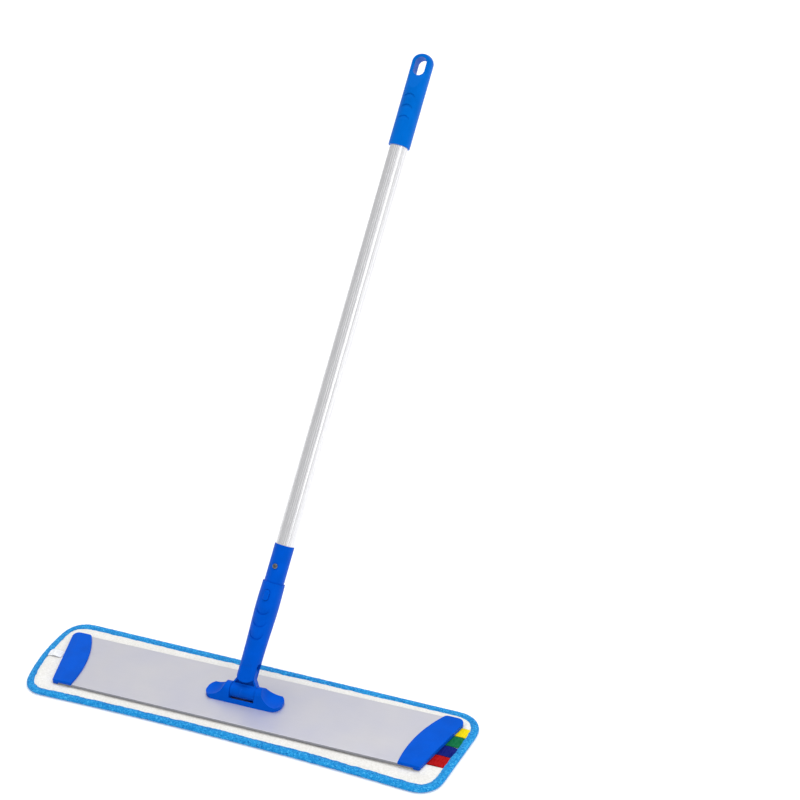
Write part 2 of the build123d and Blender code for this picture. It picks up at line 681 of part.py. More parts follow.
def make_sleeve():
    with BuildPart() as sleeve:
        with BuildSketch(HANDLE.offset(SLEEVE_START)):
            Circle(SLEEVE_RADIUS)
            Circle(SLEEVE_CORE, mode=Mode.SUBTRACT)
        extrude(amount=SLEEVE_TOP - SLEEVE_START)
        with BuildSketch(HANDLE.offset(SLEEVE_SHOULDER)):
            Circle(TUBE_RADIUS + RUNNING_GAP)
        extrude(amount=SLEEVE_TOP - SLEEVE_SHOULDER, mode=Mode.SUBTRACT)
        with BuildSketch(HANDLE_FRONT):
            add(button_hole())
        extrude(amount=ABOVE_ALL, mode=Mode.SUBTRACT)
        # A spot face and a hole for each sleeve screw, front and back.
        with BuildSketch(HANDLE_FRONT.offset(-THROUGH)):
            with Locations((0, SCREW_AT)):
                Circle(SCREW_BORE)
        extrude(amount=2 * THROUGH, mode=Mode.SUBTRACT)
        for face in (SPOT_FACE, -THROUGH):
            with BuildSketch(HANDLE_FRONT.offset(face)):
                with Locations((0, SCREW_AT)):
                    Circle(SPOT_RADIUS)
            extrude(amount=THROUGH - SPOT_FACE, mode=Mode.SUBTRACT)
    save(sleeve.part, "adapter_sleeve")


def make_sleeve_screws():
    with BuildPart() as screws:
        for outward in (1, -1):
            face = outward * SPOT_FACE
            top = face + outward * SCREW_HEAD_HEIGHT
            with BuildSketch(HANDLE_FRONT.offset(face)):
                with Locations((0, SCREW_AT)):
                    Circle(SCREW_HEAD_RADIUS)
            extrude(amount=outward * SCREW_HEAD_HEIGHT)
            with BuildSketch(HANDLE_FRONT.offset(face)):
                with Locations((0, SCREW_AT)):
                    Circle(SCREW_BORE - RUNNING_GAP)
            extrude(amount=-outward * SCREW_HEAD_RADIUS)
            with BuildSketch(HANDLE_FRONT.offset(top)):
                with Locations((0, SCREW_AT)):
                    Rectangle(SCREW_HEAD_RADIUS, RECESS_WIDTH)
                    Rectangle(RECESS_WIDTH, SCREW_HEAD_RADIUS)
            extrude(amount=-outward * SCREW_RECESS_DEPTH, mode=Mode.SUBTRACT)
        rims = screws.edges().filter_by(
            lambda e: e.geom_type == GeomType.CIRCLE and e.radius > SCREW_HEAD_RADIUS - 0.1
        )
        outer_rims = [e for e in rims if abs((e.center() - HANDLE.origin).dot(HANDLE.y_dir)) > 14]
        fillet(outer_rims, PAN_ROUNDING)
    save(screws.part, "sleeve_screws")


def make_button():
    with BuildPart() as button:
        with BuildSketch(HANDLE_FRONT.offset(BUTTON_BACK)):
            add(oval(Plane.XY, BUTTON_AT, BUTTON_LENGTH, BUTTON_WIDTH))
        extrude(amount=BUTTON_FACE - BUTTON_BACK)
        rims = button.faces().sort_by(Axis(HANDLE.origin, -HANDLE.y_dir))[-1].edges()
        fillet(rims, BUTTON_ROUNDING)
        with BuildSketch(HANDLE_FRONT.offset(BUTTON_BACK)):
            add(oval(Plane.XY, BUTTON_AT, BUTTON_FLANGE_LENGTH, BUTTON_FLANGE_WIDTH))
        extrude(amount=BUTTON_FLANGE)
    save(button.part, "lock_button")


def make_button_spring():
    seat = HANDLE.origin + HANDLE.z_dir * BUTTON_AT + HANDLE.y_dir * SPRING_SEAT
    with BuildPart() as spring:
        with BuildLine():
            coil = Helix(
                pitch=SPRING_PITCH, height=SPRING_LENGTH, radius=SPRING_RADIUS,
                center=seat, direction=-HANDLE.y_dir,
            )
        with BuildSketch(Plane(origin=coil @ 0, z_dir=coil % 0)):
            Circle(SPRING_WIRE)
        sweep(path=coil)
    save(spring.part, "button_spring")


def make_tube():
    with BuildPart() as tube:
        with BuildSketch(HANDLE.offset(TUBE_START)):
            Circle(TUBE_RADIUS)
            with PolarLocations(TUBE_RADIUS + FLUTE_RADIUS - FLUTE_DEPTH, FLUTES):
                Circle(FLUTE_RADIUS, mode=Mode.SUBTRACT)
            Circle(TUBE_BORE, mode=Mode.SUBTRACT)
        extrude(amount=TUBE_END - TUBE_START)
        with BuildSketch(HANDLE_FRONT.offset(-THROUGH)):
            with Locations((0, SCREW_AT)):
                Circle(SCREW_BORE)
        extrude(amount=2 * THROUGH, mode=Mode.SUBTRACT)
    save(tube.part, "tube")


def make_grip():
    floor = GRIP_RADIUS - GRIP_GROOVE_DEPTH
    cutters = [groove_cutter(lip, floor, -1, GRIP_GROOVE_RADIUS) for lip in GRIP_GROOVES]
    with BuildPart() as grip:
        with BuildSketch(HANDLE_FRONT):
            with BuildLine():
                Polyline(
                    (GRIP_RADIUS, GRIP_DOME), (GRIP_RADIUS, GRIP_START), (0, GRIP_START), (0, GRIP_TIP)
                )
                EllipticalCenterArc(
                    center=(0, GRIP_DOME), x_radius=GRIP_RADIUS, y_radius=GRIP_TIP - GRIP_DOME,
                    start_angle=0, arc_size=90,
                )
            make_face()
        revolve(axis=HANDLE_AXIS)
        with BuildSketch(HANDLE_SIDE.offset(-THROUGH)):
            with BuildLine():
                Polyline(
                    (-GRIP_RADIUS - 1, GRIP_START - 1), (GRIP_RADIUS + 1, GRIP_START - 1),
                    (GRIP_RADIUS + 1, TIP_FLAT_START), (TIP_HALF_DEPTH, TIP_FLAT_FULL),
                    (TIP_HALF_DEPTH, GRIP_TIP + 1), (-TIP_HALF_DEPTH, GRIP_TIP + 1),
                    (-TIP_HALF_DEPTH, TIP_FLAT_FULL), (-GRIP_RADIUS - 1, TIP_FLAT_START),
                    close=True,
                )
            make_face()
        extrude(amount=2 * THROUGH, mode=Mode.INTERSECT)
        with BuildSketch(HANDLE.offset(GRIP_START)):
            Circle(TUBE_RADIUS + RUNNING_GAP)
        extrude(amount=TUBE_END + 1 - GRIP_START, mode=Mode.SUBTRACT)
        for cutter in cutters:
            add(cutter, mode=Mode.SUBTRACT)
        with BuildSketch(HANDLE_FRONT.offset(-THROUGH)):
            add(oval(Plane.XY, HANG_HOLE_AT, HANG_HOLE_HEIGHT, HANG_HOLE_WIDTH))
        extrude(amount=2 * THROUGH, mode=Mode.SUBTRACT)
    save(grip.part, "grip")


os.makedirs("parts", exist_ok=True)
make_pad()
make_ribbons()
make_plate()
make_hook_strips()
make_end_caps()
make_plate_screws("end_cap_screws", ((-CAP_SCREW_X, 0), (CAP_SCREW_X, 0)), CAP_SCREW_TOP)
make_swivel_base()
make_plate_screws("swivel_base_screws", BASE_SCREWS, PLATE_TOP + BASE_SCREW_DEPTH)
make_axle()
make_barrel()
make_socket()
make_pivot_pin()
make_sleeve()
make_sleeve_screws()
make_button()
make_button_spring()
make_tube()
make_grip()
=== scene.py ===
import json
import math

import bpy
import numpy as np
from mathutils import Matrix, Vector


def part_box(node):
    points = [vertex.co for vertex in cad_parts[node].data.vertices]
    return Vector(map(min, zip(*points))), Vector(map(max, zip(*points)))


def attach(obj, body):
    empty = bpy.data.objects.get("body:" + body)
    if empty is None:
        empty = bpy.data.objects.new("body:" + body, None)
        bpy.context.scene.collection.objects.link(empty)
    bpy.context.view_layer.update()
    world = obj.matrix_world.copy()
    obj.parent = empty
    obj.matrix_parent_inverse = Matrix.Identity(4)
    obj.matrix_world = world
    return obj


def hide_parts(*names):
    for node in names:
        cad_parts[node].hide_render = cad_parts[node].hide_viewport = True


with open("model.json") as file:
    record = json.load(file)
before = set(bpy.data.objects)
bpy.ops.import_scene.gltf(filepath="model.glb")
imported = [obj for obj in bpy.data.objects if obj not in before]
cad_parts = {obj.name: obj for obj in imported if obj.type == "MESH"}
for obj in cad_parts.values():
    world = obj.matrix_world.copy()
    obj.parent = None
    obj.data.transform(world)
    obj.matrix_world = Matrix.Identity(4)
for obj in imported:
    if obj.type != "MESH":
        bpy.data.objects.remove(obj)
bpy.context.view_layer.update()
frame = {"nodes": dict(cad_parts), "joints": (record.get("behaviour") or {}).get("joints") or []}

# The looks of a flat mop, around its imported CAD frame. Metres, with millimetres written as n * MM.
MM = 0.001
PLATE_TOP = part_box("plate")[1].z
PAD_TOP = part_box("pad_backing")[1].z
BINDING_LOW, BINDING_HIGH = (corner.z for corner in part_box("pad_binding"))

# The handle's own frame, with z up the tube, from the axis that it tilts about.
HANDLE_JOINT = next(joint for joint in frame["joints"] if joint["name"] == "handle_tilt")
HANDLE_Y = Vector(HANDLE_JOINT["axis"]).normalized()
LEAN_BACK = math.atan2(-HANDLE_Y.z, HANDLE_Y.y)
TILT_SIDE = math.radians(6)
LUG_UP = Vector((0, math.sin(LEAN_BACK), math.cos(LEAN_BACK)))
HANDLE_Z = LUG_UP * math.cos(TILT_SIDE) + Vector((math.sin(TILT_SIDE), 0, 0))
HANDLE_X = HANDLE_Y.cross(HANDLE_Z)
HANDLE_TURN = Matrix((HANDLE_X, HANDLE_Y, HANDLE_Z))


# --- Colours -----------------------------------------------------------------------------------

def shade(red, green, blue):
    """A colour given in screen values from 0 to 255, as the linear colour that a shader takes."""
    def linear(value):
        value /= 255
        return value / 12.92 if value <= 0.04045 else ((value + 0.055) / 1.055) ** 2.4
    return (linear(red), linear(green), linear(blue), 1.0)


def tinted(color, gain, lift=0.0):
    """A colour made lighter or darker by a gain, and then paler by a lift."""
    return tuple(min(1.0, channel * gain + lift) for channel in color[:3]) + (1.0,)


# --- Node helpers ------------------------------------------------------------------------------

SHEEN_ROUGHNESS = 0.6


def new_material(name, color, roughness, metallic=0.0, specular=0.5, sheen=0.0):
    """A Principled material with an even finish, for the functions below to add detail to."""
    material = bpy.data.materials.new(name)
    material.use_nodes = True
    shader = material.node_tree.nodes["Principled BSDF"]
    shader.inputs["Base Color"].default_value = color
    shader.inputs["Roughness"].default_value = roughness
    shader.inputs["Metallic"].default_value = metallic
    shader.inputs["Specular IOR Level"].default_value = specular
    shader.inputs["Sheen Weight"].default_value = sheen
    shader.inputs["Sheen Roughness"].default_value = SHEEN_ROUGHNESS
    return material


def coordinates(material, scale=(1, 1, 1), turn=None):
    """The piece's own coordinates in metres, turned into another frame and then scaled."""
    nodes, links = material.node_tree.nodes, material.node_tree.links
    socket = nodes.new("ShaderNodeTexCoord").outputs["Object"]
    if turn is not None:
        turned = nodes.new("ShaderNodeMapping")
        turned.inputs["Rotation"].default_value = turn.to_euler()
        links.new(socket, turned.inputs["Vector"])
        socket = turned.outputs["Vector"]
    scaled = nodes.new("ShaderNodeMapping")
    scaled.inputs["Scale"].default_value = scale
    links.new(socket, scaled.inputs["Vector"])
    return scaled.outputs["Vector"]


def noise_of(material, vector, size, detail=2.0, distortion=0.0):
    """Noise whose features are about size across, in the units of the vector."""
    node = material.node_tree.nodes.new("ShaderNodeTexNoise")
    node.inputs["Scale"].default_value = 1 / size
    node.inputs["Detail"].default_value = detail
    node.inputs["Distortion"].default_value = distortion
    material.node_tree.links.new(vector, node.inputs["Vector"])
    return node.outputs["Fac"]


def ramp_of(material, factor, *stops):
    """A colour ramp: stops are (position, colour)."""
    node = material.node_tree.nodes.new("ShaderNodeValToRGB")
    elements = node.color_ramp.elements
    while len(elements) < len(stops):
        elements.new(0.5)
    for element, (position, color) in zip(elements, stops):
        element.position = position
        element.color = color
    material.node_tree.links.new(factor, node.inputs["Fac"])
    return node.outputs["Color"]


def range_of(material, factor, low, high, from_low=0.3, from_high=0.7):
    """A factor stretched, so that its run from from_low to from_high goes from low to high."""
    node = material.node_tree.nodes.new("ShaderNodeMapRange")
    node.inputs["From Min"].default_value = from_low
    node.inputs["From Max"].default_value = from_high
    node.inputs["To Min"].default_value = low
    node.inputs["To Max"].default_value = high
    material.node_tree.links.new(factor, node.inputs["Value"])
    return node.outputs["Result"]


def mix_of(material, first, second, factor, kind="MULTIPLY"):
    """Two colours mixed. factor is a number or a socket."""
    node = material.node_tree.nodes.new("ShaderNodeMix")
    node.data_type = "RGBA"
    node.blend_type = kind
    links = material.node_tree.links
    if isinstance(factor, (int, float)):
        node.inputs["Factor"].default_value = factor
    else:
        links.new(factor, node.inputs["Factor"])
    sockets = [socket for socket in node.inputs if socket.type == "RGBA"]
    for color, socket in zip((first, second), sockets):
        if isinstance(color, tuple):
            socket.default_value = color
        else:
            links.new(color, socket)
    return next(socket for socket in node.outputs if socket.type == "RGBA")


def connect(material, socket, name):
    """Drives one input of the shader, by its name."""
    shader = material.node_tree.nodes["Principled BSDF"]
    material.node_tree.links.new(socket, shader.inputs[name])


def bump(material, height, depth, strength, before=None):
    """Relief of a real depth in metres, added to the relief before it."""
    node = material.node_tree.nodes.new("ShaderNodeBump")
    node.inputs["Strength"].default_value = strength
    node.inputs["Distance"].default_value = depth
    links = material.node_tree.links
    links.new(height, node.inputs["Height"])
    if before is not None:
        links.new(before, node.inputs["Normal"])
    return node.outputs["Normal"]


# --- Materials ---------------------------------------------------------------------------------

BEVEL_SAMPLES = 6
# Draw lines run along a metal part: the noise is squeezed by this much along them.
DRAW_STRETCH = 0.02
# Scuffs are longer up the handle than across it.
SCUFF_STRETCH = 0.2
# The satin plastic mirrors little, and its reflections stay blue.
PLASTIC_SPECULAR = 0.12
PLASTIC_SPECULAR_TINT = (0.06, 0.42, 1.0, 1.0)
PLASTIC_EDGE = 0.7 * MM
PLATE_EDGE = 0.35 * MM
FLOOR_GLOW = 0.12


def rounded_edges(material, radius):
    """Softens hard edges in the shading by a small radius."""
    node = material.node_tree.nodes.new("ShaderNodeBevel")
    node.samples = BEVEL_SAMPLES
    node.inputs["Radius"].default_value = radius
    return node.outputs["Normal"]


def plastic(name, color, roughness):
    """Satin moulded plastic: a fine spark-eroded grain, and slightly uneven gloss and colour."""
    material = new_material(name, color, roughness, specular=PLASTIC_SPECULAR)
    shader = material.node_tree.nodes["Principled BSDF"]
    shader.inputs["Specular Tint"].default_value = PLASTIC_SPECULAR_TINT
    where = coordinates(material)
    cloud = noise_of(material, where, 22 * MM, 3)
    tint = ramp_of(material, cloud, (0.35, tinted(color, 0.94)), (0.65, tinted(color, 1.06)))
    # Handling leaves short pale scuffs here and there.
    along = coordinates(material, (1, 1, SCUFF_STRETCH), HANDLE_TURN)
    scuffs = noise_of(material, along, 2.5 * MM, 6, 0.4)
    marks = range_of(material, scuffs, 0.0, 0.5, 0.66, 0.74)
    worn = mix_of(material, tint, tinted(color, 1.15, 0.015), marks, "MIX")
    connect(material, worn, "Base Color")
    connect(material, range_of(material, cloud, roughness - 0.05, roughness + 0.05), "Roughness")
    round_edges = rounded_edges(material, PLASTIC_EDGE)
    grain = bump(material, noise_of(material, where, 0.55 * MM, 2), 0.015 * MM, 0.4, round_edges)
    flow = bump(material, noise_of(material, where, 9 * MM, 2), 0.08 * MM, 0.4, grain)
    connect(material, flow, "Normal")
    return material


def plate_metal():
    """Satin anodised extrusion: fine draw lines along the head, and a painted shade on the upright
    side lips, a darker colour in place of the dark surroundings they mirror.
    """
    material = new_material("plate_metal", shade(214, 214, 222), 0.45, metallic=0.85)
    nodes, links = material.node_tree.nodes, material.node_tree.links
    along = coordinates(material, (DRAW_STRETCH, 1, 1))
    lines = noise_of(material, along, 0.5 * MM, 4)
    cloud = noise_of(material, coordinates(material), 60 * MM, 2)
    tint = ramp_of(material, cloud, (0.3, shade(210, 210, 221)), (0.7, shade(216, 215, 221)))
    fine = ramp_of(material, lines, (0.25, shade(247, 247, 247)), (0.75, shade(255, 255, 255)))
    face = mix_of(material, tint, fine, 1.0)
    # Faces that stand upright belong to the side lips, which get a painted shade: a darker colour
    # that stands in for the dark surroundings they mirror.
    facing = nodes.new("ShaderNodeSeparateXYZ")
    links.new(nodes.new("ShaderNodeTexCoord").outputs["Normal"], facing.inputs["Vector"])
    level = nodes.new("ShaderNodeMath")
    level.operation = "ABSOLUTE"
    links.new(facing.outputs["Z"], level.inputs[0])
    side_lip_painted_shade = range_of(material, level.outputs["Value"], 1.0, 0.0, 0.25, 0.6)
    # The side lips' painted shade: darker than the face, in place of the dark reflections they
    # catch.
    lip = shade(160, 161, 168)
    connect(material, mix_of(material, face, lip, side_lip_painted_shade, "MIX"), "Base Color")
    connect(material, range_of(material, lines, 0.40, 0.52), "Roughness")
    relief = bump(material, lines, 0.01 * MM, 0.35, rounded_edges(material, PLATE_EDGE))
    connect(material, relief, "Normal")
    return material


def tube_metal():
    """Bright anodised tube: draw lines up the handle."""
    material = new_material("tube_metal", shade(236, 236, 238), 0.24, metallic=1.0)
    along = coordinates(material, (1, 1, DRAW_STRETCH), HANDLE_TURN)
    lines = noise_of(material, along, 0.6 * MM, 4)
    tint = ramp_of(material, lines, (0.25, shade(226, 226, 230)), (0.75, shade(242, 242, 243)))
    connect(material, tint, "Base Color")
    connect(material, range_of(material, lines, 0.18, 0.32), "Roughness")
    connect(material, bump(material, lines, 0.01 * MM, 0.4), "Normal")
    return material


def screw_steel():
    """Dull zinc-plated steel, spotted lighter and darker."""
    material = new_material("screw_steel", shade(118, 118, 122), 0.28, metallic=1.0)
    where = coordinates(material)
    spots = noise_of(material, where, 1.2 * MM, 4)
    tint = ramp_of(material, spots, (0.3, shade(88, 88, 92)), (0.7, shade(146, 146, 149)))
    connect(material, tint, "Base Color")
    connect(material, range_of(material, spots, 0.22, 0.4), "Roughness")
    return material


def fleece_cloth():
    """Brushed off-white fleece: a fine nap with soft clumps."""
    material = new_material("fleece_cloth", shade(236, 233, 226), 0.95, specular=0.15, sheen=0.25)
    where = coordinates(material)
    clumps = noise_of(material, where, 2.2 * MM, 4, 0.6)
    nap = noise_of(material, where, 0.45 * MM, 3)
    cloud = noise_of(material, where, 30 * MM, 2)
    tint = ramp_of(material, clumps, (0.3, shade(226, 225, 220)), (0.65, shade(244, 243, 240)))
    soft = ramp_of(material, cloud, (0.3, shade(248, 247, 246)), (0.7, shade(255, 255, 255)))
    connect(material, mix_of(material, tint, soft, 1.0), "Base Color")
    relief = bump(material, nap, 0.25 * MM, 0.6, bump(material, clumps, 0.5 * MM, 0.5))
    connect(material, relief, "Normal")
    return material


def binding_cloth():
    """Sky blue looped edge tape, flecked lighter and darker."""
    material = new_material("binding_cloth", shade(24, 148, 220), 0.9, specular=0.08, sheen=0.1)
    where = coordinates(material)
    flecks = noise_of(material, where, 2.1 * MM, 3, 1.2)
    cloud = noise_of(material, where, 18 * MM, 3)
    tint = ramp_of(
        material, flecks,
        (0.30, shade(0, 98, 176)), (0.44, shade(12, 138, 210)),
        (0.56, shade(26, 156, 224)), (0.70, shade(96, 198, 242)),
    )
    soft = ramp_of(material, cloud, (0.3, shade(226, 236, 244)), (0.7, shade(255, 255, 255)))
    connect(material, mix_of(material, tint, soft, 1.0), "Base Color")
    threads = noise_of(material, where, 0.7 * MM, 3, 0.8)
    relief = bump(material, threads, 0.3 * MM, 0.7, bump(material, flecks, 0.5 * MM, 0.6))
    connect(material, relief, "Normal")
    return material


def pile_cloth():
    """Twisted microfibre loops: mid blue with pale and navy flecks."""
    material = new_material("pile_cloth", shade(60, 130, 205), 0.95, specular=0.15, sheen=0.3)
    where = coordinates(material)
    flecks = noise_of(material, where, 2.6 * MM, 2, 1.0)
    tint = ramp_of(
        material, flecks,
        (0.28, shade(16, 62, 140)), (0.45, shade(42, 112, 192)),
        (0.58, shade(84, 152, 218)), (0.72, shade(190, 218, 240)),
    )
    connect(material, tint, "Base Color")
    threads = noise_of(material, where, 0.5 * MM, 2, 0.6)
    connect(material, bump(material, threads, 0.25 * MM, 0.6), "Normal")
    return material


def thread(name, color):
    """Sewing thread, with its twist as a fine relief."""
    material = new_material(name, color, 0.6, specular=0.3, sheen=0.2)
    where = coordinates(material)
    twist = noise_of(material, where, 0.35 * MM, 2)
    tint = ramp_of(material, twist, (0.35, tinted(color, 0.85)), (0.65, color))
    connect(material, tint, "Base Color")
    connect(material, bump(material, twist, 0.1 * MM, 0.5), "Normal")
    return material


def ribbon_cloth(name, color):
    """Matt woven ribbon: ribs across its length, and threads of uneven depth of colour."""
    material = new_material(name, color, 0.6, specular=0.05)
    nodes, links = material.node_tree.nodes, material.node_tree.links
    ribs = nodes.new("ShaderNodeTexWave")
    ribs.bands_direction = "Y"
    ribs.inputs["Scale"].default_value = 1 / (4.2 * MM)
    ribs.inputs["Distortion"].default_value = 0.6
    ribs.inputs["Detail Scale"].default_value = 2.0
    links.new(coordinates(material), ribs.inputs["Vector"])
    uneven = noise_of(material, coordinates(material, (1, 0.25, 1)), 1.6 * MM, 3)
    dark, light = tinted(color, 0.78), tinted(color, 1.05, 0.012)
    connect(material, ramp_of(material, uneven, (0.3, dark), (0.7, light)), "Base Color")
    relief = bump(material, ribs.outputs["Fac"], 0.08 * MM, 0.8)
    connect(material, bump(material, uneven, 0.2 * MM, 0.5, relief), "Normal")
    return material


def hook_plastic():
    """Black moulded hook tape."""
    material = new_material("hook_plastic", shade(26, 27, 31), 0.5, specular=0.4)
    spots = noise_of(material, coordinates(material), 1.5 * MM, 3)
    tint = ramp_of(material, spots, (0.3, shade(18, 19, 23)), (0.7, shade(38, 39, 45)))
    connect(material, tint, "Base Color")
    connect(material, range_of(material, spots, 0.42, 0.6), "Roughness")
    return material


def floor_paint():
    """A plain pale floor that glows a little, so that it stays white round the shadows."""
    material = new_material("floor_paint", shade(250, 250, 250), 0.85, specular=0.1)
    shader = material.node_tree.nodes["Principled BSDF"]
    shader.inputs["Emission Color"].default_value = (1, 1, 1, 1)
    shader.inputs["Emission Strength"].default_value = FLOOR_GLOW
    cloud = noise_of(material, coordinates(material), 0.8, 2)
    tint = ramp_of(material, cloud, (0.3, shade(248, 248, 249)), (0.7, shade(251, 251, 251)))
    connect(material, tint, "Base Color")
    return material


# --- Shape helpers -----------------------------------------------------------------------------

# The corners of a square, in order round it.
SQUARE = np.array(((-1, -1), (1, -1), (1, 1), (-1, 1)))
# The numbers of a common hash that gives each lattice corner its own random value.
HASH_WAY = np.array((127.1, 311.7, 74.7))
HASH_GAIN = 43758.5453
SEED_SHIFT = 31.7


def soft_noise(points, size, seed):
    """Smooth noise from -1 to 1 at each point, with features of about size."""
    scaled = np.asarray(points) / size + SEED_SHIFT * seed
    cell = np.floor(scaled)
    part = scaled - cell
    part = part * part * (3 - 2 * part)
    total = np.zeros(len(scaled))
    for corner in np.ndindex(2, 2, 2):
        at = cell + corner
        wave = np.sin(at @ HASH_WAY + seed) * HASH_GAIN
        weight = np.prod(np.where(np.array(corner) == 1, part, 1 - part), axis=1)
        total += (wave - np.floor(wave)) * weight
    return 2 * total - 1


def noise_sum(points, *parts):
    """Layers of soft noise added up: parts are (height, size, seed)."""
    return sum(height * soft_noise(points, size, seed) for height, size, seed in parts)


def smooth_step(value, start, stop):
    """0 up to start, 1 from stop on, and a smooth rise between them."""
    share = np.clip((value - start) / (stop - start), 0, 1)
    return share * share * (3 - 2 * share)


def unit(ways):
    """Each way, as a row, brought to a length of 1."""
    return ways / np.linalg.norm(ways, axis=-1)[..., None]


def raised(points, height=0.0):
    """Flat points with a height added: one number, or one for each point."""
    return np.hstack((points, np.broadcast_to(height, len(points))[:, None]))


def add_to_scene(name, data):
    """A new object that holds the data, such as a mesh, a lamp or a lens."""
    holder = bpy.data.objects.new(name, data)
    bpy.context.scene.collection.objects.link(holder)
    return holder


def build(name, points, faces, body, material):
    """A smooth mesh piece that rides on a body. faces is a list of arrays of faces."""
    mesh = bpy.data.meshes.new(name)
    faces = [face for group in faces for face in np.asarray(group).tolist()]
    mesh.from_pydata(np.asarray(points).tolist(), [], faces)
    mesh.polygons.foreach_set("use_smooth", np.ones(len(mesh.polygons), bool))
    mesh.materials.append(material)
    mesh.update()
    piece = add_to_scene(name, mesh)
    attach(piece, body)
    return piece


def grid_faces(rows, columns, closed_rows=False, closed_columns=False):
    """Quads of a grid of rows times columns points, wrapped round where it is closed."""
    row = np.arange(rows if closed_rows else rows - 1)
    column = np.arange(columns if closed_columns else columns - 1)
    r, c = (a.ravel() for a in np.meshgrid(row, column, indexing="ij"))
    r2, c2 = (r + 1) % rows, (c + 1) % columns
    return np.stack((r * columns + c, r2 * columns + c, r2 * columns + c2, r * columns + c2), 1)


def rim_of(rows, columns):
    """The border of a grid of rows times columns points, in order round it."""
    total = rows * columns
    return np.concatenate((
        np.arange(columns), np.arange(2 * columns - 1, total, columns),
        np.arange(total - 2, total - columns - 1, -1),
        np.arange(total - 2 * columns, 0, -columns),
    ))


def resampled(line, count, closed=False):
    """Points evenly spaced along a line."""
    line = np.asarray(line, float)
    if closed:
        line = np.vstack((line, line[:1]))
    at = np.concatenate(([0], np.cumsum(np.linalg.norm(np.diff(line, axis=0), axis=1))))
    wanted = np.linspace(0, at[-1], count, endpoint=not closed)
    return np.stack([np.interp(wanted, at, line[:, k]) for k in range(line.shape[1])], 1)


def rounded(points, count):
    """A smooth closed curve through the points, as count points."""
    points = np.asarray(points, float)
    total = len(points)
    steps = np.linspace(0, total, count, endpoint=False)
    index, part = np.floor(steps).astype(int), steps % 1
    p0, p1, p2, p3 = (points[(index + k) % total] for k in (-1, 0, 1, 2))
    t = part[:, None]
    return 0.5 * (
        2 * p1 + (p2 - p0) * t + (2 * p0 - 5 * p1 + 4 * p2 - p3) * t ** 2
        + (3 * p1 - p0 - 3 * p2 + p3) * t ** 3
    )


def smoothed(line, rounds):
    """A closed line of points or numbers, smoothed over its neighbours many times."""
    for _ in range(rounds):
        line = (np.roll(line, 1, 0) + 2 * line + np.roll(line, -1, 0)) / 4
    return line


OUTLINE_STEP = 1.5 * MM
OUTLINE_SMOOTHING = 30
# A wall of the CAD binding is a face whose normal rises by less than this.
WALL_RISE = 0.2
# The tape bulges this far beyond the CAD edge on the near side.
NEAR_FULLNESS = 1.2 * MM

# The width of the top lip in millimetres, and how much wider it is at the middle of each long
# side. A swell goes from minus to plus its value over about SWELL_REACH either side of the middle.
# The unevenness is a noise, as (height, size, seed).
LIP_WIDTH = 10.0
LIP_FAR_EXTRA, LIP_FAR_SWELL = 1.4, 0.8
LIP_NEAR_EXTRA, LIP_NEAR_SWELL = 0.4, 1.2
SWELL_REACH = 0.1
LIP_UNEVEN = (0.7 * MM, 34 * MM, 2)
LIP_SMOOTHING = 60


def pad_edge():
    """The pad's edge as points in order, from the outer wall of the CAD binding."""
    mesh = frame["nodes"]["pad_binding"].data
    found = set()
    for face in mesh.polygons:
        outward = face.normal.x * face.center.x + face.normal.y * face.center.y
        if abs(face.normal.z) < WALL_RISE and outward > 0:
            for k in face.vertices:
                found.add(tuple(round(value, 6) for value in mesh.vertices[k].co[:2]))
    return np.array(sorted(found, key=lambda p: math.atan2(p[1], p[0])))


class Outline:
    """The pad's edge as a closed loop, with the way in from each point."""

    def __init__(self):
        loop = pad_edge()
        self.length = np.linalg.norm(loop - np.roll(loop, 1, 0), axis=1).sum()
        self.count = int(self.length / OUTLINE_STEP)
        loop = smoothed(resampled(loop, self.count, closed=True), OUTLINE_SMOOTHING)
        along = unit(np.roll(loop, -2, 0) - np.roll(loop, 2, 0))
        self.inward = np.stack((-along[:, 1], along[:, 0]), 1)
        near_share = np.clip(self.inward[:, 1], 0, 1)
        far_share = np.clip(-self.inward[:, 1], 0, 1)
        self.loop = loop - self.inward * (NEAR_FULLNESS * near_share)[:, None]
        # The lip is widest on the near side's +X half and the far side's -X half.
        swell = np.tanh(self.loop[:, 0] / SWELL_REACH)
        lip = (
            LIP_WIDTH + (LIP_FAR_EXTRA - LIP_FAR_SWELL * swell) * far_share
            + (LIP_NEAR_EXTRA + LIP_NEAR_SWELL * swell) * near_share
        )
        self.lip = smoothed(lip * MM + noise_sum(raised(loop), LIP_UNEVEN), LIP_SMOOTHING)

    def inset(self, depth):
        """The edge drawn in by depth, which may differ from point to point."""
        return self.loop + self.inward * np.broadcast_to(depth, self.count)[:, None]

    def patch(self, depth, step):
        """A grid of points that fills the edge drawn in by depth, as rows along the head."""
        loop = self.inset(depth)
        corners = [int((loop @ way).argmax()) for way in SQUARE]
        runs = []
        for first, last in zip(corners, corners[1:] + corners[:1]):
            stop = last if last > first else last + self.count
            runs.append(loop[np.arange(first, stop + 1) % self.count])
        columns = int(np.ptp(loop[:, 0]) / step)
        rows = int(np.ptp(loop[:, 1]) / step)
        near, right = resampled(runs[0], columns), resampled(runs[1], rows)
        far, left = resampled(runs[2][::-1], columns), resampled(runs[3][::-1], rows)
        u = np.linspace(0, 1, columns)[None, :, None]
        v = np.linspace(0, 1, rows)[:, None, None]
        sides = (1 - v) * near[None] + v * far[None] + (1 - u) * left[:, None] + u * right[:, None]
        ends = (
            (1 - u) * (1 - v) * near[0] + u * (1 - v) * near[-1]
            + (1 - u) * v * far[0] + u * v * far[-1]
        )
        return sides - ends


